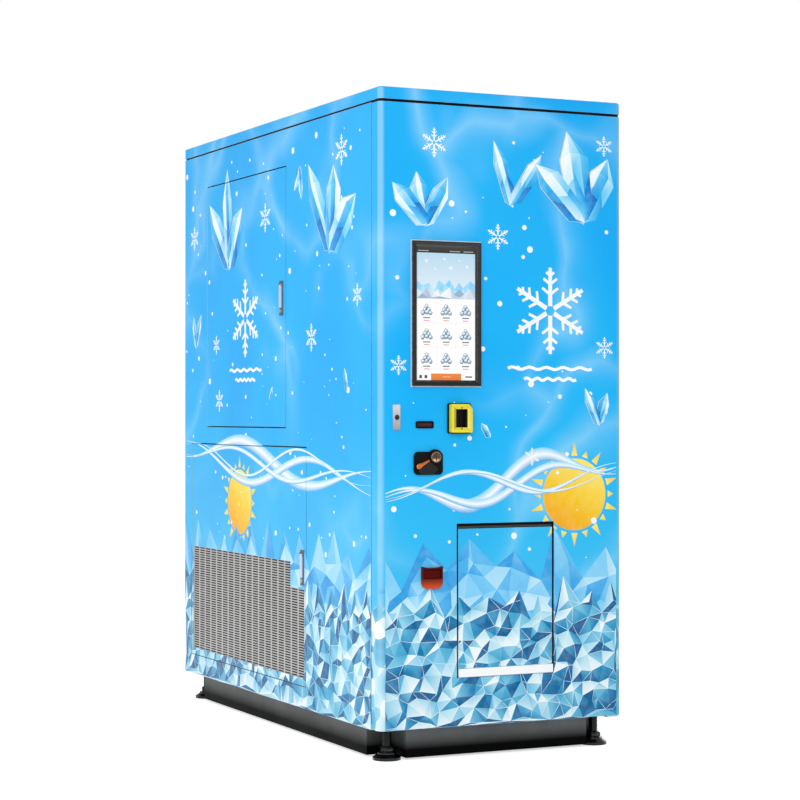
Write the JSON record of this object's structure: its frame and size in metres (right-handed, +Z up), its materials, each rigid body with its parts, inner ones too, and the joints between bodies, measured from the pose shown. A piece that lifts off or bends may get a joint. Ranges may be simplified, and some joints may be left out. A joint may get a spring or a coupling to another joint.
{
  "type": "ice vending machine",
  "caption": "Free-standing ice vending cabinet with touch display, coin and bill intake, lifting pick-up flap, swinging front door and side service hatches.",
  "frame": {"origin": "on the floor under the middle of the machine's box", "axes": "+Z up, -Y out of the front door, +X to the right of a viewer facing the front"},
  "size_m": [0.8575, 1.778, 2.042],
  "materials": {
    "printed_steel": "gloss print on painted sheet",
    "pale_steel": "satin paint",
    "frame_steel": "satin dark paint",
    "black_plastic": "fine texture",
    "screen": "lit display behind glass",
    "bright_steel": "brushed",
    "yellow_plastic": "gloss",
    "bronze": "satin",
    "copper_lever": "polished",
    "red_plastic": "gloss",
    "dark_red": "translucent gloss",
    "white_plastic": "satin",
    "grille_metal": "punched sheet",
    "seal_rubber": "soft",
    "foot_black": "gloss black",
    "filter_mesh": "open mesh",
    "bare_aluminium": "mill",
    "motor_paint": "gloss",
    "inlet_brass": "cast"
  },
  "bodies": {
    "cabinet": {"tube_frame": "frame_steel", "levelling_feet": "foot_black", "kick_plates": "frame_steel", "floor_deck": "frame_steel", "left_panel": "printed_steel", "right_panel": "printed_steel", "rear_panel": "pale_steel", "roof_plate": "black_plastic", "top_cap": "printed_steel", "door_pivots": "bright_steel", "hatch_pivots": "bright_steel", "pickup_chamber": "white_plastic", "ice_bin": "white_plastic", "ice_chute": "white_plastic", "auger_motor": "motor_paint", "ice_maker_stand": "bright_steel", "evaporator": "bare_aluminium", "water_trough": "white_plastic", "condenser_coil": "bare_aluminium", "fan_shroud": "frame_steel", "fan_motor": "motor_paint", "compressor": "motor_paint", "control_box": "pale_steel", "water_inlet": "inlet_brass", "drain_outlet": "white_plastic", "mains_inlet": "black_plastic", "panel_screws": "bright_steel"},
    "door": {"door_shell": "printed_steel", "door_seal": "seal_rubber", "display_bezel": "black_plastic", "display_unit": "screen", "lock_plate": "bright_steel", "window_bezel": "black_plastic", "window_lens": "dark_red", "bill_unit": "black_plastic", "reader_bezel": "yellow_plastic", "coin_unit": "black_plastic", "coin_disc": "bronze", "coin_cup": "red_plastic", "pickup_frame": "black_plastic"},
    "lock": {"lock_barrel": "bright_steel"},
    "pickup": {"pickup_flap": "printed_steel", "flap_rod": "frame_steel", "flap_rail": "white_plastic"},
    "lever": {"coin_lever": "copper_lever"},
    "coin_door": {"coin_flap": "dark_red"},
    "hatch_upper": {"upper_hatch": "printed_steel", "upper_handle": "bright_steel"},
    "grip_upper": {"upper_grip": "bright_steel"},
    "latch_upper": {"upper_latch": "bright_steel"},
    "hatch_lower": {"lower_hatch": "printed_steel", "lower_handle": "bright_steel", "intake_grille": "grille_metal", "intake_filter": "filter_mesh"},
    "grip_lower": {"lower_grip": "bright_steel"},
    "latch_lower": {"lower_latch": "bright_steel"},
    "screw_auger": {"auger": "bright_steel"},
    "fan": {"condenser_fan": "bare_aluminium"},
    "gate": {"chute_gate": "bright_steel"}
  },
  "joints": [
    {"name": "door_swing", "type": "hinge", "parent": "cabinet", "child": "door", "pos_m": [0.412, -0.83, 1.047], "axis": [0, 0, 1], "range_deg": [0, 110]},
    {"name": "lock_turn", "type": "hinge", "parent": "door", "child": "lock", "pos_m": [-0.368, -0.861, 1.0425], "axis": [0, 1, 0], "range_deg": [0, 90]},
    {"name": "pickup_lift", "type": "hinge", "parent": "door", "child": "pickup", "pos_m": [0.007, -0.853, 0.706], "axis": [-1, 0, 0], "range_deg": [0, 85]},
    {"name": "lever_push", "type": "hinge", "parent": "door", "child": "lever", "pos_m": [-0.296, -0.869, 0.894], "axis": [0, 1, 0], "range_deg": [0, 20], "stiffness_Nm_per_rad": 0.05},
    {"name": "coin_door_push", "type": "hinge", "parent": "door", "child": "coin_door", "pos_m": [-0.2505, -0.868, 0.577], "axis": [1, 0, 0], "range_deg": [0, 50]},
    {"name": "upper_hatch_swing", "type": "hinge", "parent": "cabinet", "child": "hatch_upper", "pos_m": [-0.416, 0.613, 1.441], "axis": [0, 0, -1], "range_deg": [0, 105]},
    {"name": "upper_grip_lift", "type": "hinge", "parent": "hatch_upper", "child": "grip_upper", "pos_m": [-0.42925, -0.087, 1.483], "axis": [0, 1, 0], "range_deg": [0, 40]},
    {"name": "upper_latch_turn", "type": "hinge", "parent": "hatch_upper", "child": "latch_upper", "pos_m": [-0.424, -0.087, 1.397], "axis": [-1, 0, 0], "range_deg": [0, 90]},
    {"name": "lower_hatch_swing", "type": "hinge", "parent": "cabinet", "child": "hatch_lower", "pos_m": [-0.416, 0.776, 0.554], "axis": [0, 0, -1], "range_deg": [0, 105]},
    {"name": "lower_grip_lift", "type": "hinge", "parent": "hatch_lower", "child": "grip_lower", "pos_m": [-0.42925, -0.268, 0.596], "axis": [0, 1, 0], "range_deg": [0, 40]},
    {"name": "lower_latch_turn", "type": "hinge", "parent": "hatch_lower", "child": "latch_lower", "pos_m": [-0.424, -0.268, 0.51], "axis": [-1, 0, 0], "range_deg": [0, 90]},
    {"name": "auger_spin", "type": "hinge", "parent": "cabinet", "child": "screw_auger", "pos_m": [0.007, -0.128, 1.0635], "axis": [0, 1, 0], "continuous": true},
    {"name": "fan_spin", "type": "hinge", "parent": "cabinet", "child": "fan", "pos_m": [-0.3, 0.2415, 0.367], "axis": [1, 0, 0], "continuous": true},
    {"name": "gate_slide", "type": "slide", "parent": "cabinet", "child": "gate", "axis": [0, -1, 0], "range_m": [0, 0.106]}
  ]
}
